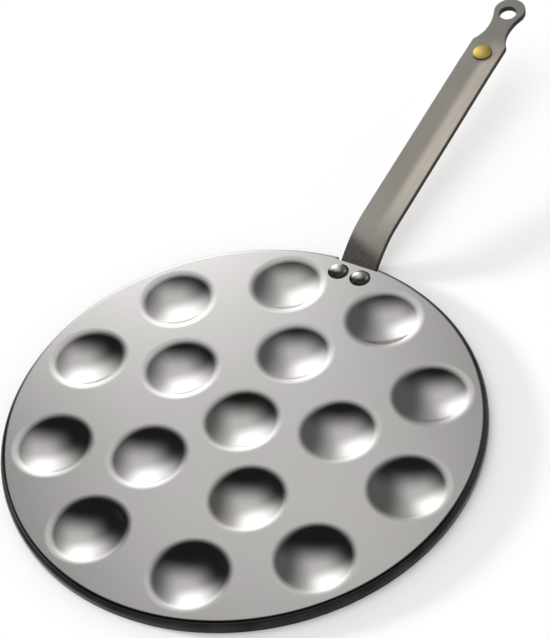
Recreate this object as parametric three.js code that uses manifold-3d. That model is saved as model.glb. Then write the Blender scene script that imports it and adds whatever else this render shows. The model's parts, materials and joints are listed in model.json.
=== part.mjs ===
import * as THREE from "three";
import { mergeVertices } from "three/addons/utils/BufferGeometryUtils.js";
import Module from "manifold-3d";

// A poffertjes pan in millimetres: a pressed steel plate with sixteen hollows and a riveted strip handle.
// The origin is on the plate's axis, on the surface that the hollows stand on. The handle points along +X, and
// up is +Z.

// Pressed plate
const plateRadius = 135; // outside of the turned-down edge
const sheet = 2.5; // thickness of the steel
const edgeDrop = 7; // from the plate's top to the lower rim of its edge
const edgeBend = 0.5; // inner radius of the bend between plate and edge

// Hollows: one in the middle and two rings round it
const innerRing = 55; // radius of the circle through the inner hollows
const hollowSpacing = 62; // least distance along a ring from one hollow to the next
const rimFlat = 3; // flat band between the outer hollows' lips and the bend
const hollowTurn = -1.6; // degrees from the handle's line to the pattern's line of symmetry
const mouthRadius = 24; // where the lip runs out into the flat top
const lipRadius = 14; // rounding of the lip
const baseRadius = 5; // flat bottom of a hollow
const hollowDepth = 6;

// Notch in the edge where the handle passes
const notchDepth = 4.5; // outside of the edge to the straight cut
const notchWidth = 28;

// Handle: a strip of flat steel, from its foot under the plate to the eye it hangs by
const stripWidth = 23;
const stripThickness = 4;
const footTail = 6; // foot past the rivets, towards the plate's middle
const bendLead = 0.5; // the upward bend starts this far inside the notch's cut
const footBend = 5; // radius of the upward bend, on the strip's upper face
const riseAngle = 38; // degrees above level, just past the plate's edge
const riseRun = 1.5; // straight length between the two bends
const backBend = 57; // radius of the bend back, on the strip's upper face
const gripAngle = 8.3; // degrees above level, of the long straight run
const shoulderRun = 151; // straight run from the back bend to the shoulders
const neckRun = 13.5; // shoulders to the narrowest place
const neckWidth = 14;
const eyeRun = 29.5; // shoulders to the middle of the eye
const eyeRadius = 10;
const holeRun = 27; // shoulders to the middle of the hanging hole
const holeRadius = 5.4;

// Rivets
const rivetSetback = 8.5; // the notch's cut to the line of the two rivets
const rivetInset = 4.25; // the strip's edge to a rivet's axis
const rivet = { shank: 3, head: 6.2, dome: 2.9, land: 0.4, tail: 4.6, tailDrop: 1 };

// Brass stud
const studSetback = 10; // shoulders to the middle of the stud
const stud = { shank: 2.5, head: 6, dome: 2.2, land: 1, tail: 3.6, tailDrop: 0.9 };

// Clearances
const seatGap = 0.3; // between faces that bear on each other
const holeGap = 0.3; // round a shank in its hole, and round a hollow that the foot passes
const cutMargin = 5; // how far a cutting shape reaches past what it cuts

// Fineness of the round stretches
const rimSides = 80;
const bendSteps = 4;
const hollowSides = 20;
const bowlSteps = 3;
const lipSteps = 2;
const outlineSteps = 9;
const fastenerSides = 20;
const domeSteps = 4;

const degree = Math.PI / 180;
const quarter = Math.PI / 2;

// Places that follow from the sizes above
const outerBend = edgeBend + sheet;
const outerRing = plateRadius - outerBend - rimFlat - mouthRadius;
const innerCount = Math.floor((2 * Math.PI * innerRing) / hollowSpacing);
const outerCount = Math.floor((2 * Math.PI * outerRing) / hollowSpacing);
const plateTop = hollowDepth + sheet;
const plateUnder = plateTop - sheet;
const notchReach = plateRadius - notchDepth;
const rivetReach = notchReach - rivetSetback;
const footTop = plateUnder - seatGap;
const footUnder = footTop - stripThickness;

const wasm = await Module();
wasm.setup();

// A closed geometry as a solid that can be joined and cut.
function toSolid(geometry) {
  const bare = geometry.index ? geometry.toNonIndexed() : geometry.clone();
  bare.deleteAttribute("normal");
  bare.deleteAttribute("uv");
  const merged = mergeVertices(bare, 1e-4);
  const vertProperties = merged.attributes.position.array;
  const triVerts = new Uint32Array(merged.index.array);
  return new wasm.Manifold(new wasm.Mesh({ numProp: 3, vertProperties, triVerts }));
}

// A solid back as a geometry with flat faces.
function toGeometry(solid) {
  const mesh = solid.getMesh();
  const geometry = new THREE.BufferGeometry();
  geometry.setAttribute("position", new THREE.BufferAttribute(mesh.vertProperties, 3));
  geometry.setIndex(new THREE.BufferAttribute(mesh.triVerts, 1));
  const flat = geometry.toNonIndexed();
  flat.computeVertexNormals();
  return flat;
}

// A profile of radius and height, from the axis outwards, up and back to the axis, turned about +Z.
function turned(profile, sides) {
  const points = profile.map(([radius, height]) => new THREE.Vector2(radius, height));
  return new THREE.LatheGeometry(points, sides).rotateX(quarter);
}

// Points on an arc without its first point, for a profile.
function arc(x, y, radius, from, to, steps) {
  return Array.from({ length: steps }, (_, i) => {
    const angle = from + ((to - from) * (i + 1)) / steps;
    return [x + radius * Math.cos(angle), y + radius * Math.sin(angle)];
  });
}

// An upright round cutter through everything at one place.
function roundCutter(radius, x, y, sides) {
  const height = 2 * (plateTop + cutMargin);
  const cylinder = new THREE.CylinderGeometry(radius, radius, height, sides).rotateX(quarter);
  return toSolid(cylinder.translate(x, y, 0));
}

// Where the hollows' axes stand, ring by ring.
function ringPlaces(radius, count, firstAngle) {
  return Array.from({ length: count }, (_, i) => {
    const angle = (firstAngle + (360 * i) / count) * degree;
    return [radius * Math.cos(angle), radius * Math.sin(angle)];
  });
}

const innerPlaces = ringPlaces(innerRing, innerCount, hollowTurn);
const outerPlaces = ringPlaces(outerRing, outerCount, hollowTurn + 180 / outerCount);
const hollowPlaces = [[0, 0], ...innerPlaces, ...outerPlaces];
const rivetPlaces = [1, -1].map((side) => [rivetReach, side * (stripWidth / 2 - rivetInset)]);

// The plate before its hollows are pressed: a disc with its edge bent down.
function plateBlank() {
  const bendMiddle = plateRadius - outerBend;
  const bendHeight = plateTop - outerBend;
  const innerWall = plateRadius - sheet;
  const edgeUnder = plateTop - edgeDrop;
  return turned(
    [
      [0, plateUnder],
      [bendMiddle, plateUnder],
      ...arc(bendMiddle, bendHeight, edgeBend, quarter, 0, 2),
      [innerWall, edgeUnder],
      [plateRadius, edgeUnder],
      [plateRadius, bendHeight],
      ...arc(bendMiddle, bendHeight, outerBend, 0, quarter, bendSteps),
      [0, plateTop],
    ],
    rimSides,
  );
}

// One face of a hollow from its flat base to the plate, at a depth inside the sheet: 0 is the upper face.
// The bowl's arc and the lip's arc meet where the wall is steepest.
function hollowFace(inside) {
  const wallAngle = 2 * Math.atan(hollowDepth / (mouthRadius - baseRadius));
  const bowlRadius = (mouthRadius - baseRadius) / Math.sin(wallAngle) - lipRadius;
  const bowlMiddle = plateTop - hollowDepth + bowlRadius;
  const lipMiddle = plateTop - lipRadius;
  return [
    [0, plateTop - hollowDepth - inside],
    [baseRadius, plateTop - hollowDepth - inside],
    ...arc(baseRadius, bowlMiddle, bowlRadius + inside, -quarter, wallAngle - quarter, bowlSteps),
    ...arc(mouthRadius, lipMiddle, lipRadius - inside, quarter + wallAngle, quarter, lipSteps),
  ];
}

// The pressed plate: the hollows' undersides are joined to the blank, then their insides, the notch and the
// rivet holes are cut.
function plateSolid() {
  const bulgeProfile = [...hollowFace(sheet), [mouthRadius, plateTop - sheet / 2], [0, plateTop - sheet / 2]];
  const cavityProfile = [...hollowFace(0), [mouthRadius, plateTop + cutMargin], [0, plateTop + cutMargin]];
  let solid = toSolid(plateBlank());
  for (const [x, y] of hollowPlaces) {
    solid = solid.add(toSolid(turned(bulgeProfile, hollowSides).translate(x, y, 0)));
  }
  for (const [x, y] of hollowPlaces) {
    solid = solid.subtract(toSolid(turned(cavityProfile, hollowSides).translate(x, y, 0)));
  }
  for (const [x, y] of rivetPlaces) {
    solid = solid.subtract(roundCutter(rivet.shank + holeGap, x, y, fastenerSides));
  }
  const notchLength = notchDepth + cutMargin;
  const notch = new THREE.BoxGeometry(notchLength, notchWidth, 2 * (plateTop + cutMargin));
  return solid.subtract(toSolid(notch.translate(notchReach + notchLength / 2, 0, 0)));
}

// The strip's bends, seen from the side: where each arc is centred and where the straight run starts.
function stripBends() {
  const rise = riseAngle * degree;
  const grip = gripAngle * degree;
  const lower = { x: notchReach - bendLead, z: footTop + footBend };
  const riseX = lower.x + footBend * Math.sin(rise) + riseRun * Math.cos(rise);
  const riseZ = lower.z - footBend * Math.cos(rise) + riseRun * Math.sin(rise);
  const upper = { x: riseX + backBend * Math.sin(rise), z: riseZ - backBend * Math.cos(rise) };
  const start = { x: upper.x - backBend * Math.sin(grip), z: upper.z + backBend * Math.cos(grip) };
  return { rise, grip, lower, upper, start };
}

const bends = stripBends();

// The strip at full width, from the side: its upper face from foot to end, and back along its under face.
function stripBlank() {
  const { rise, grip, lower, upper, start } = bends;
  const footEnd = rivetReach - footTail;
  const gripRun = shoulderRun + eyeRun + eyeRadius + cutMargin;
  const endX = start.x + gripRun * Math.cos(grip);
  const endZ = start.z + gripRun * Math.sin(grip);
  const underX = stripThickness * Math.sin(grip);
  const underZ = -stripThickness * Math.cos(grip);
  const side = new THREE.Shape();
  side.moveTo(footEnd, footTop);
  side.absarc(lower.x, lower.z, footBend, -quarter, rise - quarter, false);
  side.absarc(upper.x, upper.z, backBend, quarter + rise, quarter + grip, true);
  side.lineTo(endX, endZ);
  side.lineTo(endX + underX, endZ + underZ);
  side.absarc(upper.x, upper.z, backBend - stripThickness, quarter + grip, quarter + rise, false);
  side.absarc(lower.x, lower.z, footBend + stripThickness, rise - quarter, -quarter, true);
  side.lineTo(footEnd, footUnder);
  const options = { depth: stripWidth, bevelEnabled: false, curveSegments: bendSteps };
  return new THREE.ExtrudeGeometry(side, options).rotateX(quarter).translate(0, stripWidth / 2, 0);
}

// A geometry laid out on the strip's upper face, x along the straight run and z off the face, in its place.
function onGrip(geometry) {
  return geometry.rotateY(-bends.grip).translate(bends.start.x, 0, bends.start.z);
}

// What the strip keeps, looking square on to the straight run: all of it up to the shoulders, then the neck and
// the eye. One arc runs from each shoulder to the narrowest place, and one from there into the eye's circle.
function gripOutline() {
  const wide = stripWidth / 2 + cutMargin;
  const half = stripWidth / 2;
  const neckHalf = neckWidth / 2;
  const neckX = shoulderRun + neckRun;
  const eyeX = shoulderRun + eyeRun;
  const drop = half - neckHalf;
  const shoulderArc = (neckRun ** 2 + drop ** 2) / (2 * drop);
  const neckToEye = eyeX - neckX;
  const eyeArc = (neckToEye ** 2 + neckHalf ** 2 - eyeRadius ** 2) / (2 * (eyeRadius - neckHalf));
  const shoulderAngle = Math.atan2(shoulderArc - drop, -neckRun);
  const eyeAngle = Math.atan2(neckHalf + eyeArc, neckToEye);
  const back = rivetReach - footTail - bends.start.x - cutMargin;
  const outline = new THREE.Shape();
  outline.moveTo(back, -wide);
  outline.lineTo(shoulderRun, -wide);
  outline.lineTo(shoulderRun, -half);
  outline.absarc(neckX, -neckHalf - shoulderArc, shoulderArc, shoulderAngle, quarter, true);
  outline.absarc(neckX, -neckHalf - eyeArc, eyeArc, quarter, eyeAngle, true);
  outline.absarc(eyeX, 0, eyeRadius, eyeAngle - Math.PI, Math.PI - eyeAngle, false);
  outline.absarc(neckX, neckHalf + eyeArc, eyeArc, -eyeAngle, -quarter, true);
  outline.absarc(neckX, neckHalf + shoulderArc, shoulderArc, -quarter, -shoulderAngle, true);
  outline.lineTo(shoulderRun, wide);
  outline.lineTo(back, wide);
  const hole = new THREE.Path();
  hole.absarc(shoulderRun + holeRun, 0, holeRadius, 0, 2 * Math.PI, true);
  outline.holes.push(hole);
  const under = bends.start.z - footUnder + cutMargin;
  const options = { depth: under + cutMargin, bevelEnabled: false, curveSegments: outlineSteps };
  return onGrip(new THREE.ExtrudeGeometry(outline, options).translate(0, 0, -under));
}

// The handle: the strip cut to its outline, with the stud's and the rivets' holes, and its foot's corners cut
// back where the hollows stand.
function handleSolid() {
  const studHoleRadius = stud.shank + holeGap;
  const studHoleLength = 2 * (stripThickness + cutMargin);
  const studHole = new THREE.CylinderGeometry(studHoleRadius, studHoleRadius, studHoleLength, fastenerSides);
  studHole.rotateX(quarter).translate(shoulderRun - studSetback, 0, 0);
  let solid = toSolid(stripBlank()).intersect(toSolid(gripOutline()));
  solid = solid.subtract(toSolid(onGrip(studHole)));
  for (const [x, y] of rivetPlaces) {
    solid = solid.subtract(roundCutter(rivet.shank + holeGap, x, y, fastenerSides));
  }
  for (const [x, y] of outerPlaces) {
    solid = solid.subtract(roundCutter(mouthRadius + holeGap, x, y, hollowSides));
  }
  return solid;
}

// A rivet or stud standing on z = 0: domed head above, shank below through the grip, set end under it.
function fastener({ shank, head, dome, land, tail, tailDrop }, grip) {
  const crown = (radius, height, base) =>
    Array.from({ length: domeSteps }, (_, i) => {
      const angle = (quarter * i) / domeSteps;
      return [radius * Math.cos(angle), base + height * Math.sin(angle)];
    });
  return turned(
    [
      [0, -grip - tailDrop],
      ...crown(tail, -tailDrop, -grip).reverse(),
      [shank, -grip],
      [shank, 0],
      [head, 0],
      ...crown(head, dome - land, land),
      [0, dome],
    ],
    fastenerSides,
  );
}

function finish(color, roughness) {
  return new THREE.MeshStandardMaterial({ color, roughness, metalness: 1 });
}

function named(name, geometry, material) {
  const mesh = new THREE.Mesh(geometry, material);
  mesh.name = name;
  return mesh;
}

const plateSteel = finish(0xb3b0ac, 0.32);
const stripSteel = finish(0x8f8880, 0.4);
const rivetSteel = finish(0x8c8a88, 0.25);
const brass = finish(0xc99a3b, 0.28);

const pan = new THREE.Group();
pan.add(named("pan_plate", toGeometry(plateSolid()), plateSteel));
pan.add(named("handle", toGeometry(handleSolid()), stripSteel));

const rivetGrip = sheet + stripThickness + 3 * seatGap;
for (const [x, y] of rivetPlaces) {
  const name = y > 0 ? "rivet_left" : "rivet_right";
  const mesh = named(name, fastener(rivet, rivetGrip), rivetSteel);
  mesh.position.set(x, y, plateTop + seatGap);
  pan.add(mesh);
}

const grip = new THREE.Group();
grip.position.set(bends.start.x, 0, bends.start.z);
grip.rotation.y = -bends.grip;
const studMesh = named("brass_stud", fastener(stud, stripThickness + 2 * seatGap), brass);
studMesh.position.set(shoulderRun - studSetback, 0, seatGap);
grip.add(studMesh);
pan.add(grip);

export default pan;
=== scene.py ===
import json

import bpy
import numpy as np
from mathutils import Matrix
from mathutils.geometry import delaunay_2d_cdt

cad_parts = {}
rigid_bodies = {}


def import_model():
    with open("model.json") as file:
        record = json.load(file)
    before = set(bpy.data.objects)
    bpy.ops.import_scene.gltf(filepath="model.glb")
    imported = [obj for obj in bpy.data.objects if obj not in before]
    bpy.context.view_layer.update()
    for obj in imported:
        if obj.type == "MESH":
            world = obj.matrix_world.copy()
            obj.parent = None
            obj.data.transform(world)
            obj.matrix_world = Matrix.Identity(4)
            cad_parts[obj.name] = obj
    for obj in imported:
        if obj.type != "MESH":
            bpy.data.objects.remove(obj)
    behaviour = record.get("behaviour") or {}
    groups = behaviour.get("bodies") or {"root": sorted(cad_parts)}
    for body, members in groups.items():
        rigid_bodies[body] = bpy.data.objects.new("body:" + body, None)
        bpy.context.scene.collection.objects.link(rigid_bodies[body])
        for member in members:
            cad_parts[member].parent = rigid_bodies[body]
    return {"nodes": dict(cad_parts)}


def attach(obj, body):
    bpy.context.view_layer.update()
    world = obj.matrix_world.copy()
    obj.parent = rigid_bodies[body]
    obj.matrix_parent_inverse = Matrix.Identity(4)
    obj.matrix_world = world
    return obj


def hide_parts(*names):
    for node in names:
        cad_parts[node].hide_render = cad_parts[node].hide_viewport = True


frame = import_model()
for spare in [each for each in bpy.data.objects if each.name in ("Cube", "Light", "Camera")]:
    bpy.data.objects.remove(spare)
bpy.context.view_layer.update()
print("frame loaded:", ", ".join(sorted(frame["nodes"])))

# The pan's sizes are in millimetres and its angles in degrees, and its meshes are scaled to metres when they
# are made. Camera, floor and light are in metres.
toMetres = 0.001
weldSteps = 2000  # steps in a millimetre; points in the same step are welded
fullTurn = 2 * np.pi
rightAngle = np.pi / 2


# Points and patches

def circle(middle, radius, sides):
    # points evenly round a circle: the middle plus radius times (cos turn, sin turn)
    turn = fullTurn * np.arange(sides) / sides
    return np.asarray(middle) + radius * np.stack([np.cos(turn), np.sin(turn)], 1)


def arcPoints(middle, radius, start, end, steps):
    # points evenly along an arc, by the circle's formula, from one turn to another
    turn = np.linspace(start, end, steps + 1)
    return np.asarray(middle) + radius * np.stack([np.cos(turn), np.sin(turn)], 1)


def spread(normal, count):
    # the same direction for each of a flat patch's points
    return np.tile(np.array(normal, float), (count, 1))


def gridTriangles(rows, columns, closed):
    # two triangles for each cell of a grid of points; closed joins the last column to the first
    spans = columns if closed else columns - 1
    row, column = np.meshgrid(np.arange(rows - 1), np.arange(spans), indexing="ij")
    corner = row * columns + column
    beside = row * columns + (column + 1) % columns
    opposite = beside + columns
    return np.stack([corner, beside, opposite, corner, opposite, corner + columns], -1).reshape(-1, 3)


def turnedPatch(reach, height, outward, upward, sides, dark=0.0):
    # a section turned about the upright axis: reach times (cos turn, sin turn), at its height; the direction
    # it faces turns in the same way, and its mark stays
    ring = np.tile(circle((0, 0), 1, sides), (len(reach), 1))

    def turned(level, lift):
        return np.column_stack([np.repeat(level, sides)[:, None] * ring, np.repeat(lift, sides)])

    marks = np.repeat(np.broadcast_to(dark, len(reach)), sides)
    return turned(reach, height), turned(outward, upward), gridTriangles(len(reach), sides, True), marks


def insideLoops(places, loops):
    # a place is inside where a level ray from it crosses the loops an odd number of times
    starts = np.concatenate(loops)
    ends = np.concatenate([np.roll(loop, -1, 0) for loop in loops])
    x, y = places[:, None, 0], places[:, None, 1]
    spans = (starts[:, 1] > y) != (ends[:, 1] > y)
    rise = np.where(ends[:, 1] == starts[:, 1], 1, ends[:, 1] - starts[:, 1])
    crossing = starts[:, 0] + (y - starts[:, 1]) * (ends[:, 0] - starts[:, 0]) / rise
    return (spans & (x < crossing)).sum(1) % 2 == 1


def flatFill(loops, extra=np.zeros((0, 2))):
    # Delaunay triangles over the loops' points and extra ones, kept where their middle is inside the loops
    places = np.concatenate([*loops, extra])
    bounds = np.cumsum([0] + [len(loop) for loop in loops])
    edges = []
    for start, end in zip(bounds, bounds[1:]):
        along = np.arange(start, end)
        edges.append(np.stack([along, np.roll(along, -1)], 1))
    wholeFill, nearEnough = 0, 1e-6
    made = delaunay_2d_cdt(places.tolist(), np.concatenate(edges).tolist(), [], wholeFill, nearEnough)
    faces, origins = made[2:4]
    triangles = np.array([origin[0] for origin in origins])[np.array(faces)]
    return places, triangles[insideLoops(places[triangles].mean(1), loops)]


def makePiece(name, patches, markName):
    # patches of points, normals, triangles and marks are turned to face along their normals, welded where
    # their points meet, and put into one mesh whose corners keep the patches' own normals
    starts = np.cumsum([0] + [len(patch[0]) for patch in patches])
    points = np.concatenate([patch[0] for patch in patches])
    normals = np.concatenate([patch[1] for patch in patches])
    faces = np.concatenate([patch[2] + start for patch, start in zip(patches, starts)])
    marks = np.concatenate([np.broadcast_to(np.ravel(patch[3]), len(patch[0])) for patch in patches])
    corners = points[faces]
    across = np.cross(corners[:, 1] - corners[:, 0], corners[:, 2] - corners[:, 0])
    away = (across * normals[faces].sum(1)).sum(1) < 0
    faces[away] = faces[away][:, ::-1]
    steps = np.round(points * weldSteps).astype(np.int64)
    first, index = np.unique(steps, axis=0, return_index=True, return_inverse=True)[1:]
    welded = index.reshape(-1)[faces]
    whole = (welded != np.roll(welded, 1, 1)).all(1)  # three different corners are left
    welded, faces = welded[whole], faces[whole]
    mesh = bpy.data.meshes.new(name)
    mesh.from_pydata((points[first] * toMetres).tolist(), [], welded.tolist())
    mesh.polygons.foreach_set("use_smooth", np.ones(len(welded), bool))
    mesh.normals_split_custom_set(normals[faces].reshape(-1, 3).tolist())
    marked = mesh.attributes.new(markName, "FLOAT", "POINT")
    marked.data.foreach_set("value", marks[first].astype(np.float32))
    mesh.update()
    piece = bpy.data.objects.new(name, mesh)
    bpy.context.scene.collection.objects.link(piece)
    pairs = np.sort(welded[:, [0, 1, 1, 2, 2, 0]].reshape(-1, 2), 1)
    uses = np.unique(pairs, axis=0, return_counts=True)[1]
    print(name, "has", len(welded), "triangles and", int((uses != 2).sum()), "open edges")
    return piece


# Shader nodes

noiseSpan = (0.3, 0.7)  # most of a noise lies between these
fleckSpan = (0.35, 0.65)  # flecks fade out across these


def startMaterial(name):
    material = bpy.data.materials.new(name)
    material.use_nodes = True
    return material, material.node_tree, material.node_tree.nodes["Principled BSDF"]


def feed(tree, socket, value):
    # a socket is linked, and a number, vector or colour is set
    if isinstance(value, bpy.types.NodeSocket):
        tree.links.new(value, socket)
    else:
        socket.default_value = (*value, 1) if socket.type == "RGBA" else value


def addNode(tree, kind, inputs=None, **settings):
    node = tree.nodes.new(kind)
    for key, value in settings.items():
        setattr(node, key, value)
    for key, value in (inputs or {}).items():
        feed(tree, node.inputs[key], value)
    return node


def calculate(tree, operation, *values):
    node = addNode(tree, "ShaderNodeMath", dict(enumerate(values)), operation=operation)
    return node.outputs["Value"]


def stepNode(tree, value, span, low=0.0, high=1.0, easing="SMOOTHSTEP"):
    # a step from low to high while the value crosses the span
    inputs = {"Value": value, "From Min": span[0], "From Max": span[1], "To Min": low, "To Max": high}
    return addNode(tree, "ShaderNodeMapRange", inputs, interpolation_type=easing).outputs["Result"]


def rampNode(tree, source, stops):
    node = tree.nodes.new("ShaderNodeValToRGB")
    ramp = node.color_ramp
    while len(ramp.elements) < len(stops):
        ramp.elements.new(1)
    for element, (place, shade) in zip(ramp.elements, stops):
        element.position = place
        element.color = (*shade, 1) if isinstance(shade, tuple) else (shade, shade, shade, 1)
    tree.links.new(source, node.inputs["Fac"])
    return node.outputs["Color"]


def objectNoise(tree, scale, detail, stretch=(1, 1, 1), roughness=0.5):
    place = addNode(tree, "ShaderNodeTexCoord").outputs["Object"]
    stretched = addNode(tree, "ShaderNodeMapping", {"Vector": place, "Scale": stretch}).outputs["Vector"]
    inputs = {"Vector": stretched, "Scale": scale, "Detail": detail, "Roughness": roughness}
    return addNode(tree, "ShaderNodeTexNoise", inputs).outputs["Fac"]


def mixColour(tree, factor, first, second):
    # a colour mix has its factor and colours at inputs 0, 6 and 7, and its result at output 2
    node = addNode(tree, "ShaderNodeMix", {0: factor, 6: first, 7: second}, data_type="RGBA")
    return node.outputs[2]


def twoTones(tree, noise, dark, light):
    return rampNode(tree, noise, list(zip(noiseSpan, (dark, light))))


def addFlecks(tree, noise, base, share, shade):
    # the base with a share of another shade where the noise is low
    return mixColour(tree, rampNode(tree, noise, list(zip(fleckSpan, (share, 0.0)))), base, shade)


def markOf(tree, name):
    return addNode(tree, "ShaderNodeAttribute", attribute_name=name).outputs["Fac"]


def addSatin(tree, shader, roughNoise, bumpNoise, look):
    # roughness between the look's two values, and a fine bump
    rough = stepNode(tree, roughNoise, noiseSpan, *look["rough"], easing="LINEAR")
    tree.links.new(rough, shader.inputs["Roughness"])
    inputs = {"Height": bumpNoise, "Strength": look["bump"], "Distance": look["bumpHeight"] * toMetres}
    tree.links.new(addNode(tree, "ShaderNodeBump", inputs).outputs["Normal"], shader.inputs["Normal"])


# Camera and floor

cameraSet = dict(
    place=(-0.5200, -0.4420, 0.7797), target=(0.0799, 0.0270, 0.0), roll=-10.3,
    lens=105.8, sensor=36, nearest=0.01, farthest=200,
)
floorSet = dict(half=40.0, shade=(0.93, 0.93, 0.935), rough=0.9)


def aim(towards):
    # a turn whose -Z axis points along a direction, with its X axis level
    back = -np.array(towards, float) / np.linalg.norm(towards)
    side = np.cross((0, 0, 1), back)
    side = side / np.linalg.norm(side)
    return np.stack([side, np.cross(back, side), back], 1)


def placement(turn, place):
    return Matrix([*np.column_stack([turn, place]).tolist(), [0, 0, 0, 1]])


def addCamera():
    # the camera is aimed at its target and then rolled about its own view
    lens = bpy.data.cameras.new("photoCamera")
    lens.lens = cameraSet["lens"]
    lens.sensor_width = cameraSet["sensor"]
    lens.clip_start = cameraSet["nearest"]
    lens.clip_end = cameraSet["farthest"]
    camera = bpy.data.objects.new("photoCamera", lens)
    turn = aim(np.subtract(cameraSet["target"], cameraSet["place"]))
    roll = np.radians(cameraSet["roll"])
    tilt = np.array([[np.cos(roll), -np.sin(roll), 0], [np.sin(roll), np.cos(roll), 0], [0, 0, 1]])
    camera.matrix_world = placement(turn @ tilt, cameraSet["place"])
    bpy.context.scene.collection.objects.link(camera)
    bpy.context.scene.camera = camera


def addFloor():
    half = floorSet["half"]
    mesh = bpy.data.meshes.new("paleFloor")
    corners = [(-half, -half, 0), (half, -half, 0), (half, half, 0), (-half, half, 0)]
    mesh.from_pydata(corners, [], [(0, 1, 2, 3)])
    floor = bpy.data.objects.new("paleFloor", mesh)
    bpy.context.scene.collection.objects.link(floor)
    material, tree, shader = startMaterial("palePaper")
    feed(tree, shader.inputs["Base Color"], floorSet["shade"])
    shader.inputs["Roughness"].default_value = floorSet["rough"]
    shader.inputs["Specular IOR Level"].default_value = 0.0
    mesh.materials.append(material)


# Light. The level directions behind and beside the pan are as the camera sees it. The two suns aren't
# mirrored in the pan, and one of them casts the shadow.
lightSet = dict(
    behind=(0.788, 0.616, 0.0), beside=(0.616, -0.788, 0.0), away=3.0,
    skySun=dict(strength=1.90, spread=60, side=(-0.616, 0.788), rise=70, shadow=False),
    keySun=dict(strength=2.3, spread=7, side=(-0.22, 0.975), rise=13.5, shadow=True),
)

# What the pan mirrors. Two soft boxes with feathered edges stand behind it: each has an upper edge by its
# angle from level behind, in degrees, and a left and a right edge by the share to the side. A pale band lies
# low down on the other sides, a plain room fills the directions far from the boxes, and walls stand at both
# sides.
windowSet = dict(
    reach=0.8, rows=24, columns=72, dim=0.012,
    boxes=[
        dict(glow=0.80, top=(53, 91), left=(-0.58, -0.10), right=(0.05, 0.52), beyond=0.15, lean=-17),
        dict(glow=1.25, top=(22, 50), left=(-0.66, -0.10), right=(-0.06, 0.24), beyond=0.0, lean=0),
    ],
    bandGlow=0.82, bandTop=(0.24, 0.42), bandTurn=(0.40, 0.62), bandTilt=0.15,
    boxWay=(0.519, 0.406, 0.752), roomGlow=0.40, roomEdge=(0.24, 0.42),
    wallGlow=0.42, wallEdge=(0.75, 0.81),
)


def addSun(name):
    sun = lightSet[name]
    rise = np.radians(sun["rise"])
    level = np.array(sun["side"]) / np.linalg.norm(sun["side"]) * np.cos(rise)
    source = np.array((*level, np.sin(rise)))
    data = bpy.data.lights.new(name, "SUN")
    data.energy = sun["strength"]
    data.angle = np.radians(sun["spread"])
    data.use_shadow = sun["shadow"]
    lamp = bpy.data.objects.new(name, data)
    lamp.matrix_world = placement(aim(-source), source * lightSet["away"])
    lamp.visible_camera = lamp.visible_glossy = False
    bpy.context.scene.collection.objects.link(lamp)


def windowGlow(tree, way):
    # light from a direction of length 1: the boxes' sum, a dim rest and the lightest of band, room and walls

    def vectors(operation, output, *values):
        node = addNode(tree, "ShaderNodeVectorMath", dict(enumerate(values)), operation=operation)
        return node.outputs[output]

    def share(direction, along):
        return vectors("DOT_PRODUCT", "Value", direction, along)

    def work(operation, *values):
        return calculate(tree, operation, *values)

    window = windowSet
    height = addNode(tree, "ShaderNodeSeparateXYZ", {"Vector": way}).outputs["Z"]
    back, side = share(way, lightSet["behind"]), share(way, lightSet["beside"])
    angle = work("DEGREES", work("ARCTAN2", height, back))
    light = window["dim"]
    for box in window["boxes"]:
        leaned = work("MULTIPLY_ADD", side, box["lean"], angle)
        below = stepNode(tree, leaned, box["top"], box["glow"], 0)
        left = stepNode(tree, side, box["left"], 0, 1)
        right = stepNode(tree, side, box["right"], 1, box["beyond"])
        light = work("MULTIPLY_ADD", below, work("MULTIPLY", left, right), light)
    level = vectors("NORMALIZE", "Vector", vectors("MULTIPLY", "Vector", way, (1, 1, 0)))
    tilted = work("MULTIPLY_ADD", back, window["bandTilt"], height)
    band = stepNode(tree, tilted, window["bandTop"], window["bandGlow"], 0)
    around = stepNode(tree, share(level, lightSet["behind"]), window["bandTurn"], 1, 0)
    room = stepNode(tree, share(way, window["boxWay"]), window["roomEdge"], window["roomGlow"], 0)
    walls = stepNode(tree, work("ABSOLUTE", side), window["wallEdge"], 0, window["wallGlow"])
    rest = work("MAXIMUM", work("MULTIPLY", band, around), work("MAXIMUM", room, walls))
    return work("ADD", light, rest)


def addWorld():
    world = bpy.data.worlds.new("studio")
    bpy.context.scene.world = world
    world.use_nodes = True
    tree = world.node_tree
    way = addNode(tree, "ShaderNodeTexCoord").outputs["Generated"]
    tree.links.new(windowGlow(tree, way), tree.nodes["Background"].inputs["Color"])


def addDome():
    # half a sphere round the pan, seen in reflections only: reach times (cos rise cos turn, cos rise sin
    # turn, sin rise)
    rows, columns = windowSet["rows"], windowSet["columns"]
    rise = np.linspace(0, rightAngle, rows)
    ring = turnedPatch(np.cos(rise), np.sin(rise), np.cos(rise), np.sin(rise), columns)
    mesh = bpy.data.meshes.new("windowDome")
    mesh.from_pydata((ring[0] * windowSet["reach"]).tolist(), [], ring[2].tolist())
    dome = bpy.data.objects.new("windowDome", mesh)
    dome.visible_camera = dome.visible_diffuse = dome.visible_shadow = dome.visible_transmission = False
    bpy.context.scene.collection.objects.link(dome)
    material, tree, shader = startMaterial("windowGlow")
    place = addNode(tree, "ShaderNodeTexCoord").outputs["Object"]
    way = addNode(tree, "ShaderNodeVectorMath", {0: place}, operation="NORMALIZE").outputs["Vector"]
    feed(tree, shader.inputs["Base Color"], (0, 0, 0))
    shader.inputs["Specular IOR Level"].default_value = 0.0
    shader.inputs["Emission Strength"].default_value = 1.0
    tree.links.new(windowGlow(tree, way), shader.inputs["Emission Color"])
    mesh.materials.append(material)


# Pressed plate

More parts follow.
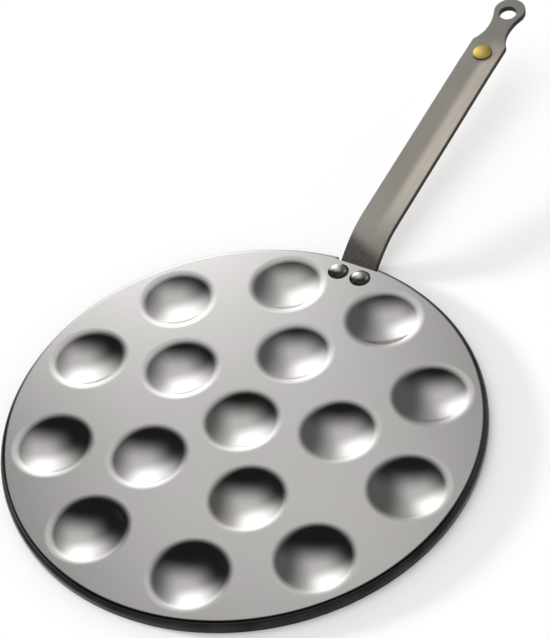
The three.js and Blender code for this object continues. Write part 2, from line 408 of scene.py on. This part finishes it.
plate = dict(
    radius=135.0, sheet=2.5, drop=7.0, bend=1.1, corner=0.6,
    innerRing=55.0, innerCount=5, outerRing=105.0, outerCount=10, patternTurn=-1.6,
    mouth=24.0, depth=6.0, lip=13.0, bottom=0.8,
    notchReach=130.5, notchHalf=14.0,
    rivetReach=122.0, rivetAside=7.25, rivetHole=3.3,
    sectors=72, dishRows=24, lipRows=14, rimSteps=320, bendRows=9, holeSides=32,
    # painted shade on the rim, a dark reflection painted into the colour: the lean of the bend where it
    # starts, how much later on one side, and how it fills
    rimShadeFrom=1.0, rimShadeLater=24.0, rimShadeLateTurn=75.0, rimShadeFade=12.0, rimShadeThin=0.70, rimShadeFill=150.0,
    innerEnd=250.0, innerFade=30.0, innerLeast=0.5, endShade=0.6, frontShade=0.3,
    # finish, with the scales of its noises per metre
    cloud=22, cloudDetail=4,
    tones=[(0.30, (0.61, 0.58, 0.55)), (0.44, (0.59, 0.595, 0.57)),
           (0.56, (0.615, 0.585, 0.585)), (0.70, (0.60, 0.60, 0.60))],
    grain=1400, grainDetail=2, grainShare=0.07, grainShade=(0.42, 0.41, 0.39),
    rimShadeCloud=60, rimShadeDetail=3, rimShadeDark=(0.018, 0.016, 0.017), rimShadeLight=(0.037, 0.034, 0.035),
    rough=(0.13, 0.16), bump=0.03, bumpHeight=0.1,
)
plateUnder = plate["depth"]
plateTop = plateUnder + plate["sheet"]


def hollowPlaces():
    # one place in the middle, then places evenly round the inner and the outer circle
    innerCount, outerCount = plate["innerCount"], plate["outerCount"]
    inner = plate["patternTurn"] + 360 / innerCount * np.arange(innerCount)
    outer = plate["patternTurn"] + 360 / outerCount * (np.arange(outerCount) + 0.5)
    turn = np.radians(np.concatenate([[0], inner, outer]))
    reach = np.repeat([0, plate["innerRing"], plate["outerRing"]], [1, innerCount, outerCount])
    return np.stack([reach * np.cos(turn), reach * np.sin(turn)], 1)


def rivetPlaces():
    return [np.array((plate["rivetReach"], side * plate["rivetAside"])) for side in (1, -1)]


def hollowSection(inside):
    # a round dish and a lip that touch: for a mouth m and a depth d their radii add to (m m + d d) / 2d, and
    # they meet at the lean whose sine is m over that sum
    mouth = plate["mouth"]
    depth = plate["depth"] - (plate["bottom"] if inside == 0 else 0)
    both = (mouth ** 2 + depth ** 2) / (2 * depth)
    lip = plate["lip"] - inside
    dish = both - lip
    steepest = np.arcsin(mouth / both)
    down = np.linspace(0, steepest, plate["dishRows"])
    up = np.linspace(steepest, 0, plate["lipRows"])[1:]
    reach = np.concatenate([dish * np.sin(down), mouth - lip * np.sin(up)])
    rise = np.concatenate([dish * (1 - np.cos(down)) - depth, -lip * (1 - np.cos(up))])
    return reach, plateTop - inside + rise, np.concatenate([down, up])


def hollowPatches(inside):
    # the section at a depth inside the sheet, turned about each hollow's axis
    reach, height, lean = hollowSection(inside)
    facing = 1 if inside == 0 else -1
    turned = turnedPatch(reach, height, -facing * np.sin(lean), facing * np.cos(lean), plate["sectors"])
    return [(turned[0] + (*place, 0), *turned[1:]) for place in hollowPlaces()]


def holeWalls():
    # upright walls of the rivet holes, facing their axes
    radius, facing = np.full(2, plate["rivetHole"]), np.array([-1.0, -1.0])
    height = np.array([plateUnder, plateTop])
    turned = turnedPatch(radius, height, facing, np.zeros(2), plate["holeSides"])
    return [(turned[0] + (*place, 0), *turned[1:]) for place in rivetPlaces()]


def rimPaintedShade(face, turn):
    # share of painted shade on the rim, a dark reflection painted into the colour: it starts on the bend,
    # further down on one side, fills as the bend leans over, thins on the inner wall and ends on the inner
    # bend
    lean = np.degrees(face)[:, None]
    paintedSide = 0.5 + 0.5 * np.cos(turn - np.radians(plate["rimShadeLateTurn"]))
    start = plate["rimShadeFrom"] + plate["rimShadeLater"] * paintedSide
    marks = np.clip((lean - start) / plate["rimShadeFade"], 0, 1)
    marks = marks * np.clip(plate["rimShadeThin"] + lean / plate["rimShadeFill"], 0, 1)
    marks = marks * np.clip((plate["innerEnd"] - lean) / plate["innerFade"], plate["innerLeast"], 1)
    marks[-plate["bendRows"]:] *= np.linspace(1, 0, plate["bendRows"])[:, None]
    return marks


def rimPatch():
    # section of the edge: outer bend, wall, rounded lower rim, inner wall and inner bend, given by reach,
    # height and the direction it faces; it is carried round from one side of the notch to the other
    outerBend, corner = plate["bend"] + plate["sheet"], plate["corner"]
    outerWall, innerWall = plate["radius"], plate["radius"] - plate["sheet"]
    bendCentre = (outerWall - outerBend, plateTop - outerBend)
    low = plateTop - plate["drop"] + corner
    quarter = np.linspace(0, rightAngle, plate["bendRows"])
    face = np.concatenate([quarter, quarter + rightAngle, quarter + np.pi, quarter[::-1] + np.pi])
    centres = [bendCentre, (outerWall - corner, low), (innerWall + corner, low), bendCentre]
    centre = np.repeat(centres, len(quarter), 0)
    size = np.repeat([outerBend, corner, corner, -plate["bend"]], len(quarter))
    reach = centre[:, 0] + size * np.sin(face)
    height = centre[:, 1] + size * np.cos(face)
    gap = np.arcsin(plate["notchHalf"] / reach)[:, None]
    turn = gap + np.linspace(0, 1, plate["rimSteps"]) * (fullTurn - 2 * gap)
    ring = np.stack([np.cos(turn), np.sin(turn)], -1)

    def carried(level, lift):
        lifted = np.broadcast_to(lift[:, None, None], (*turn.shape, 1))
        return np.concatenate([level[:, None, None] * ring, lifted], -1)

    return carried(reach, height), carried(np.sin(face), np.cos(face)), rimPaintedShade(face, turn)


def notchFaces(rim):
    # the sheet's cut ends on both sides of the notch, and the cut between them, each with a share of the
    # rim's painted shade
    reach, half = plate["notchReach"], plate["notchHalf"]
    faces = []
    for column, side in ((0, 1), (-1, -1)):
        section = np.concatenate([rim[:, column, [0, 2]], [(reach, plateUnder), (reach, plateTop)]])
        ends, cells = flatFill([section])
        points = np.column_stack([ends[:, 0], np.full(len(ends), side * half), ends[:, 1]])
        faces.append((points, spread((0, -side, 0), len(points)), cells, plate["endShade"]))
    front = np.array([(reach, y, z) for z in (plateUnder, plateTop) for y in (-half, half)])
    faces.append((front, spread((1, 0, 0), len(front)), gridTriangles(2, 2, False), plate["frontShade"]))
    return faces


def plateSurface():
    # the edge, the flat web between the hollows above and below, the hollows' two faces, and all cut walls
    rim, rimNormals, rimMarks = rimPatch()
    rimCells = gridTriangles(*rim.shape[:2], False)
    patches = [(rim.reshape(-1, 3), rimNormals.reshape(-1, 3), rimCells, rimMarks)]
    mouths = [circle(place, plate["mouth"], plate["sectors"]) for place in hollowPlaces()]
    rivetHoles = [circle(place, plate["rivetHole"], plate["holeSides"]) for place in rivetPlaces()]
    notch = [(plate["notchReach"], -plate["notchHalf"]), (plate["notchReach"], plate["notchHalf"])]
    edge = np.concatenate([rim[0, :, :2], notch])
    places, triangles = flatFill([edge, *mouths, *rivetHoles])
    for level, facing in ((plateTop, 1), (plateUnder, -1)):
        points = np.column_stack([places, np.full(len(places), level)])
        patches.append((points, spread((0, 0, facing), len(points)), triangles, 0.0))
    patches += hollowPatches(0) + hollowPatches(plate["sheet"]) + holeWalls() + notchFaces(rim)
    return makePiece("plateSurface", patches, "paintedRimShade")


def plateSteel():
    material, tree, shader = startMaterial("satinPlateSteel")
    cloud = objectNoise(tree, plate["cloud"], plate["cloudDetail"])
    grain = objectNoise(tree, plate["grain"], plate["grainDetail"])
    steel = rampNode(tree, cloud, plate["tones"])
    steel = addFlecks(tree, grain, steel, plate["grainShare"], plate["grainShade"])
    # the rim's dark scale is painted shade: a dark reflection painted into the steel's colour where the
    # rim's mark is set
    rimShadeCloud = objectNoise(tree, plate["rimShadeCloud"], plate["rimShadeDetail"])
    scale = twoTones(tree, rimShadeCloud, plate["rimShadeDark"], plate["rimShadeLight"])
    rimShaded = mixColour(tree, markOf(tree, "paintedRimShade"), steel, scale)
    tree.links.new(rimShaded, shader.inputs["Base Color"])
    shader.inputs["Metallic"].default_value = 1.0
    addSatin(tree, shader, cloud, grain, plate)
    return material


# Handle strip

strip = dict(
    half=11.5, thick=4.0, edge=0.55, holeEdge=0.2,
    gutter=0.05, gutterEase=2.5, gutterStop=8.0, gutterFade=14.0,
    footEnd=116.0, footTop=5.7, footSide=1.5, footRound=1.2, footPoint=5.0, cut=1.8, cutGap=0.2,
    lowerX=130.0, lowerBend=5.0, rise=38.0, riseRun=1.5, upperBend=57.0, lean=8.3,
    shoulder=151.0, shoulderEase=0.5, shoulderGap=1.0, neckRun=13.5, neckHalf=7.0,
    eyeRun=29.5, eyeRadius=10.0, holeRun=27.0, hole=5.4, studSetback=10.0, studHole=2.8,
    footRows=6, lowerRows=9, riseRows=3, upperRows=21, sideRows=40, gripRows=50, gripReach=190.0,
    neckSteps=16, intoEyeSteps=14, eyeSteps=30, eyeHoleSides=48, holeSides=32,
    easeSteps=4, edgeSteps=5, acrossSteps=9, clear=0.7,
    # finish, with the scales of its noises per metre, and the places of the painted sheen on one half, the
    # neck, and the painted shade on the foot
    cloud=35, cloudDetail=4, cloudStretch=(0.4, 1, 1),
    brush=900, brushDetail=3, brushStretch=(0.06, 1, 1), brushRough=0.6,
    dark=(0.262, 0.243, 0.214), light=(0.315, 0.298, 0.266),
    paintedSheenDark=(0.45, 0.405, 0.345), paintedSheenLight=(0.54, 0.49, 0.43),
    paintedSheenSide=(0.6, -5.0), paintedSheenStart=(143.0, 190.0), neckStart=(318.0, 298.0), neckShade=(0.245, 0.235, 0.21),
    footShadeSlant=-0.33, footShadeEdge=(147.5, 138.5), paintedFootShade=(0.085, 0.08, 0.072),
    brushShare=0.22, brushShade=(0.27, 0.25, 0.22), edgeShadeStart=0.3, paintedEdgeShade=(0.032, 0.028, 0.022),
    metal=0.55, mirror=0.2, mirrorTint=(0.5, 0.48, 0.45), rough=(0.34, 0.44), bump=0.12, bumpHeight=0.2,
)


def stripStations():
    # run along the strip's upper face where each stretch starts: lower bend, rise, upper bend, straight grip
    rise, lean = np.radians(strip["rise"]), np.radians(strip["lean"])
    lower, upper = strip["lowerBend"] * rise, strip["upperBend"] * (rise - lean)
    return np.cumsum([strip["lowerX"] - strip["footEnd"], lower, strip["riseRun"], upper])


def stripRows(gripEnd, gripRows):
    # runs of the points along the strip, each stretch parted evenly
    lowerStart, riseStart, upperStart, gripStart = stripStations()
    stretches = [
        (strip["footSide"], lowerStart, strip["footRows"]), (lowerStart, riseStart, strip["lowerRows"]),
        (riseStart, upperStart, strip["riseRows"]), (upperStart, gripStart, strip["upperRows"]),
        (gripStart, gripEnd, gripRows),
    ]
    parts = [np.linspace(*stretch) for stretch in stretches]
    return np.concatenate([parts[0], *(part[1:] for part in parts[1:])])


def bendStrip(run, aside, off, along, across, out):
    # the flat strip's points (run, aside, off the face) and directions are carried along the side view's
    # path: level foot, arc up, short rise, arc back, straight grip; both sides of the grip lean in a little
    # to its middle
    rise, lean = np.radians(strip["rise"]), np.radians(strip["lean"])
    lowerBend, upperBend = strip["lowerBend"], strip["upperBend"]
    lowerStart, riseStart, upperStart, gripStart = stripStations()
    before = [run < lowerStart, run < riseStart, run < upperStart, run < gripStart]

    def stretch(foot, lower, straight, upper, grip):
        return np.select(before, [foot + 0 * run, lower, straight + 0 * run, upper], grip)

    lowZ = strip["footTop"] + lowerBend
    riseX = strip["lowerX"] + lowerBend * np.sin(rise)
    riseZ = lowZ - lowerBend * np.cos(rise)
    topX = riseX + strip["riseRun"] * np.cos(rise) + upperBend * np.sin(rise)
    topZ = riseZ + strip["riseRun"] * np.sin(rise) - upperBend * np.cos(rise)
    gripX = topX - upperBend * np.sin(lean)
    gripZ = topZ + upperBend * np.cos(lean)
    turn = stretch(0, (run - lowerStart) / lowerBend, rise, rise - (run - upperStart) / upperBend, lean)
    x = stretch(strip["footEnd"] + run, strip["lowerX"] + lowerBend * np.sin(turn),
                riseX + (run - riseStart) * np.cos(rise), topX - upperBend * np.sin(turn),
                gripX + (run - gripStart) * np.cos(lean))
    z = stretch(strip["footTop"], lowZ - lowerBend * np.cos(turn),
                riseZ + (run - riseStart) * np.sin(rise), topZ + upperBend * np.cos(turn),
                gripZ + (run - gripStart) * np.sin(lean))
    gutterEnd = gripStart + strip["shoulder"] - strip["gutterStop"]
    share = np.clip((run - upperStart) / (gripStart - upperStart), 0, 1)
    share = share * np.clip((gutterEnd - run) / strip["gutterFade"], 0, 1)
    lift = np.hypot(aside, strip["gutterEase"])
    off = off + strip["gutter"] * share * (lift - strip["gutterEase"])
    across = across - strip["gutter"] * share * aside / lift * out
    points = np.stack([x - off * np.sin(turn), aside, z + off * np.cos(turn)], -1)
    forward = along * np.cos(turn) - out * np.sin(turn)
    upward = along * np.sin(turn) + out * np.cos(turn)
    normals = np.stack([forward, across, upward], -1)
    return points, normals / np.linalg.norm(normals, axis=-1, keepdims=True)


def easeCorner(before, corner, after, size):
    # a quadratic curve from one side of a corner to the other, leaving each side at the given distance
    before, corner, after = np.array([before, corner, after], float)
    start = corner + (before - corner) / np.linalg.norm(before - corner) * size
    end = corner + (after - corner) / np.linalg.norm(after - corner) * size
    share = np.linspace(0, 1, strip["easeSteps"] + 1)[:, None]
    return (1 - share) ** 2 * start + 2 * share * (1 - share) * corner + share ** 2 * end


def stripOutline():
    # the flat strip's outline in run and width: straight sides, an arc from each shoulder to the neck, an
    # arc into the eye's circle, and one foot corner eased more, clear of a hollow
    half, neckHalf, eyeRadius = strip["half"], strip["neckHalf"], strip["eyeRadius"]
    lowerStart, gripStart = stripStations()[[0, 3]]
    shoulderX = gripStart + strip["shoulder"]
    neckX, eyeX = shoulderX + strip["neckRun"], shoulderX + strip["eyeRun"]
    drop, toEye = half - neckHalf, eyeX - neckX
    shoulderArc = (strip["neckRun"] ** 2 + drop ** 2) / (2 * drop)
    eyeArc = (toEye ** 2 + neckHalf ** 2 - eyeRadius ** 2) / (2 * (eyeRadius - neckHalf))
    shoulderTurn = np.arctan2(shoulderArc - drop, -strip["neckRun"])
    eyeTurn = np.arctan2(neckHalf + eyeArc, toEye)
    neckCentre, eyeCentre = (neckX, -neckHalf - shoulderArc), (neckX, -neckHalf - eyeArc)
    neck = arcPoints(neckCentre, shoulderArc, shoulderTurn, rightAngle, strip["neckSteps"])
    intoEye = arcPoints(eyeCentre, eyeArc, rightAngle, eyeTurn, strip["intoEyeSteps"])
    eye = arcPoints((eyeX, 0), eyeRadius, eyeTurn - np.pi, 0, strip["eyeSteps"])
    runs = stripRows(shoulderX - strip["shoulderGap"], strip["sideRows"])
    side = np.stack([runs, np.full(len(runs), -half)], 1)
    shoulder = easeCorner(side[-1], (shoulderX, -half), neck[2], strip["shoulderEase"])
    lower = np.concatenate([side, shoulder, neck[1:], intoEye[1:], eye[1:]])
    upper = lower[::-1][1:] * (1, -1)
    upper = upper[upper[:, 0] > strip["cut"] + strip["cutGap"]]
    cut = easeCorner((lowerStart, half), (0, half), (0, 0), strip["cut"])
    footCorner = easeCorner((0, 0), (0, -half), (strip["footSide"], -half), strip["footRound"])
    foot = [(0, strip["footPoint"]), (0, 0), (0, -strip["footPoint"])]
    return np.concatenate([lower, upper, cut, foot, footCorner])


def outwards(loop):
    # directions square to the loop, from its neighbours on both sides, for a loop that runs anticlockwise
    tangent = np.roll(loop, -1, 0) - np.roll(loop, 1, 0)
    tangent = tangent / np.linalg.norm(tangent, axis=1, keepdims=True)
    return np.stack([tangent[:, 1], -tangent[:, 0]], 1)


def edgePatch(loop, normal, size):
    # the strip's edge: a quarter round from the upper face, the wall, and a quarter round to the under face
    quarter = np.linspace(0, rightAngle, strip["edgeSteps"])
    face = np.concatenate([quarter, quarter + rightAngle])
    inset = size * (1 - np.sin(face))
    off = np.repeat([-size, size - strip["thick"]], len(quarter)) + size * np.cos(face)
    flat = loop - inset[:, None, None] * normal
    shape = flat.shape[:2]
    level = np.sin(face)[:, None]
    points, normals = bendStrip(flat[..., 0], flat[..., 1], np.broadcast_to(off[:, None], shape),
                                level * normal[:, 0], level * normal[:, 1],
                                np.broadcast_to(np.cos(face)[:, None], shape))
    # the mark for the painted shade on the rounded edge starts part way round it
    start = strip["edgeShadeStart"]
    marks = np.broadcast_to(np.clip(level * (1 + start) - start, 0, 1), shape)
    return points.reshape(-1, 3), normals.reshape(-1, 3), gridTriangles(*shape, True), marks


def stripLoops():
    # the outline, then the holes for the hanging eye, the stud and the rivets, which run the other way round
    shoulderX = stripStations()[3] + strip["shoulder"]
    footStart = np.array((strip["footEnd"], 0))
    eyeHole = circle((shoulderX + strip["holeRun"], 0), strip["hole"], strip["eyeHoleSides"])
    studHole = circle((shoulderX - strip["studSetback"], 0), strip["studHole"], strip["holeSides"])
    rivetHoles = [circle(place - footStart, plate["rivetHole"], strip["holeSides"])
                  for place in rivetPlaces()]
    return [stripOutline(), *(hole[::-1] for hole in (eyeHole, studHole, *rivetHoles))]


def handleStrip():
    # rounded edges round the outline and the holes, and a face on each side with a grid of points in it
    loops = stripLoops()
    normals = [outwards(loop) for loop in loops]
    sizes = [strip["edge"], strip["edge"], strip["holeEdge"], strip["holeEdge"], strip["holeEdge"]]
    patches = [edgePatch(*each) for each in zip(loops, normals, sizes)]
    inner = [loop - size * normal for loop, normal, size in zip(loops, normals, sizes)]
    runs = stripRows(stripStations()[3] + strip["gripReach"], strip["gripRows"])
    widths = np.linspace(-1, 1, strip["acrossSteps"] + 2)[1:-1] * (strip["half"] - strip["edge"])
    grid = np.stack(np.meshgrid(runs, widths, indexing="ij"), -1).reshape(-1, 2)
    apart = np.sqrt(((grid[:, None] - np.concatenate(inner)) ** 2).sum(-1).min(1))
    kept = grid[(apart > strip["clear"]) & insideLoops(grid, inner)]
    places, triangles = flatFill(inner, kept)
    none = np.zeros(len(places))
    for off, facing in ((0, 1), (-strip["thick"], -1)):
        points, faceNormals = bendStrip(places[:, 0], places[:, 1], none + off, none, none, none + facing)
        patches.append((points, faceNormals, triangles, 0.0))
    return makePiece("handleStrip", patches, "edge")


def stripSteel():
    material, tree, shader = startMaterial("brushedStripSteel")

    def stepAt(value, span):
        return stepNode(tree, value, np.multiply(span, toMetres).tolist())

    cloud = objectNoise(tree, strip["cloud"], strip["cloudDetail"], strip["cloudStretch"])
    brush = objectNoise(tree, strip["brush"], strip["brushDetail"], strip["brushStretch"],
                        strip["brushRough"])
    position = addNode(tree, "ShaderNodeTexCoord").outputs["Object"]
    place = addNode(tree, "ShaderNodeSeparateXYZ", {"Vector": position}).outputs
    belowNeck = stepAt(place["X"], strip["neckStart"])
    # a lighter half along the grip: painted sheen, a lighter reflection painted into the colour
    paintedSheenRun = calculate(tree, "MULTIPLY", stepAt(place["Y"], strip["paintedSheenSide"]), belowNeck)
    paintedSheenShare = calculate(tree, "MULTIPLY", paintedSheenRun, stepAt(place["X"], strip["paintedSheenStart"]))
    slanted = calculate(tree, "MULTIPLY_ADD", place["Y"], strip["footShadeSlant"], place["X"])
    steel = twoTones(tree, cloud, strip["dark"], strip["light"])
    paintedSide = twoTones(tree, cloud, strip["paintedSheenDark"], strip["paintedSheenLight"])
    steel = mixColour(tree, belowNeck, strip["neckShade"], steel)
    steel = mixColour(tree, paintedSheenShare, steel, paintedSide)
    # painted shade on the foot next to the plate, standing in for its dark reflection
    steel = mixColour(tree, stepAt(slanted, strip["footShadeEdge"]), steel, strip["paintedFootShade"])
    steel = addFlecks(tree, brush, steel, strip["brushShare"], strip["brushShade"])
    # painted shade on the rounded edges, a dark reflection painted into the colour
    steel = mixColour(tree, markOf(tree, "edge"), steel, strip["paintedEdgeShade"])
    tree.links.new(steel, shader.inputs["Base Color"])
    shader.inputs["Metallic"].default_value = strip["metal"]
    shader.inputs["Specular IOR Level"].default_value = strip["mirror"]
    feed(tree, shader.inputs["Specular Tint"], strip["mirrorTint"])
    addSatin(tree, shader, brush, brush, strip)
    return material


# Rivets and stud

rivet = dict(
    shank=3.0, head=6.2, dome=2.9, land=-0.1, tail=4.6, tailDrop=1.0, tailLand=0.3, seat=0.3, settle=0.28,
    sides=64, domeSteps=16,
    # painted shade round the dome's foot: the lean it starts from, its fade in degrees, and its colour
    shadeLean=34.0, footShadeFade=8.0, paintedFootShade=(0.06, 0.055, 0.05),
    cloud=250, cloudDetail=3, dark=(0.60, 0.59, 0.575), light=(0.74, 0.73, 0.71),
    rough=(0.18, 0.28), bump=0.15, bumpHeight=0.3,
)
stud = dict(
    shank=2.5, head=6.0, dome=2.2, land=1.0, tail=3.6, tailDrop=0.9, tailLand=0.3, seat=0.3, settle=0.28,
    sides=64, domeSteps=16,
    # painted shade round the dome's foot: the lean it starts from, its fade in degrees, and its colour
    shadeLean=30.0, footShadeFade=8.0, paintedFootShade=(0.20, 0.12, 0.04),
    cloud=300, cloudDetail=3, dark=(0.86, 0.59, 0.13), light=(1.0, 0.76, 0.25),
    rough=(0.44, 0.54), bump=0.15, bumpHeight=0.2,
)


def fastener(name, sizes, grip, turn, place):
    # domed head: a short upright land and a cap of a sphere over it; plain shank; set tail: a flatter cap; a
    # cap of radius a and height h is cut from a sphere of radius (a a + h h) / 2h
    shank, head, tail, sides = sizes["shank"], sizes["head"], sizes["tail"], sizes["sides"]
    headUnder, tailTop = -sizes["settle"], sizes["settle"] - grip

    def crown(radius, height, base, sign, start):
        sphere = (radius ** 2 + height ** 2) / (2 * height)
        lean = np.linspace(np.arcsin(radius / sphere), 0, sizes["domeSteps"])
        reach = np.concatenate([[radius, radius], sphere * np.sin(lean)])
        level = np.concatenate([[start, base], base + sign * (height - sphere + sphere * np.cos(lean))])
        outward = np.concatenate([[1, 1], np.sin(lean)])
        upward = np.concatenate([[0, 0], sign * np.cos(lean)])
        # painted shade from this lean down to the dome's foot
        dark = np.clip((np.degrees(lean) - sizes["shadeLean"]) / sizes["footShadeFade"], 0, 1)
        return turnedPatch(reach, level, outward, upward, sides, np.concatenate([[1, 1], dark]))

    def annulus(inner, outer, level, facing):
        upward = np.full(2, float(facing))
        return turnedPatch(np.array([inner, outer]), np.full(2, level), np.zeros(2), upward, sides)

    tailHeight, tailBase = sizes["tailDrop"] - sizes["tailLand"], -grip - sizes["tailLand"]
    patches = [
        crown(head, sizes["dome"] - sizes["land"], sizes["land"], 1, headUnder),
        annulus(shank, head, headUnder, -1),
        turnedPatch(np.full(2, shank), np.array([headUnder, tailTop]), np.ones(2), np.zeros(2), sides),
        annulus(shank, tail, tailTop, 1),
        crown(tail, tailHeight, tailBase, -1, tailTop),
    ]
    placed = [(patch[0] @ turn.T + place, patch[1] @ turn.T, *patch[2:]) for patch in patches]
    return makePiece(name, placed, "foot")


def addRivets():
    # upright rivets through the plate and the strip's foot
    grip = plate["sheet"] + strip["thick"] + 3 * rivet["seat"]  # gaps above, between and below
    places = [np.array((*place, plateTop + rivet["seat"])) for place in rivetPlaces()]
    names = ("rivetLeft", "rivetRight")
    return [fastener(name, rivet, grip, np.eye(3), place) for name, place in zip(names, places)]


def addStud():
    # square to the leaning grip, below its shoulders
    run = np.array([stripStations()[3] + strip["shoulder"] - strip["studSetback"]])
    lean = np.radians(strip["lean"])
    turn = np.array([[np.cos(lean), 0, -np.sin(lean)], [0, 1, 0], [np.sin(lean), 0, np.cos(lean)]])
    none = np.zeros(1)
    place = bendStrip(run, none, none + stud["seat"], none, none, none + 1)[0][0]
    grip = strip["thick"] + 2 * stud["seat"]  # gaps above and below
    return fastener("studBrass", stud, grip, turn, place)


def domeFinish(name, look):
    # metal on the dome, with painted shade round its foot where the steep lower dome would mirror the pale
    # floor
    material, tree, shader = startMaterial(name)
    cloud = objectNoise(tree, look["cloud"], look["cloudDetail"])
    metal = twoTones(tree, cloud, look["dark"], look["light"])
    metal = mixColour(tree, markOf(tree, "foot"), metal, look["paintedFootShade"])
    tree.links.new(metal, shader.inputs["Base Color"])
    shader.inputs["Metallic"].default_value = 1.0
    addSatin(tree, shader, cloud, cloud, look)
    return material


def dress(piece, material, node):
    piece.data.materials.append(material)
    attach(piece, "root")
    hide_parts(node)


addCamera()
addFloor()
addSun("skySun")
addSun("keySun")
addWorld()
addDome()
print("camera, floor and light are set")
dress(plateSurface(), plateSteel(), "pan_plate")
dress(handleStrip(), stripSteel(), "handle")
rivetLook = domeFinish("polishedRivetSteel", rivet)
for piece, node in zip(addRivets(), ("rivet_left", "rivet_right")):
    dress(piece, rivetLook, node)
dress(addStud(), domeFinish("satinBrass", stud), "brass_stud")
bpy.context.scene.view_settings.view_transform = "Standard"
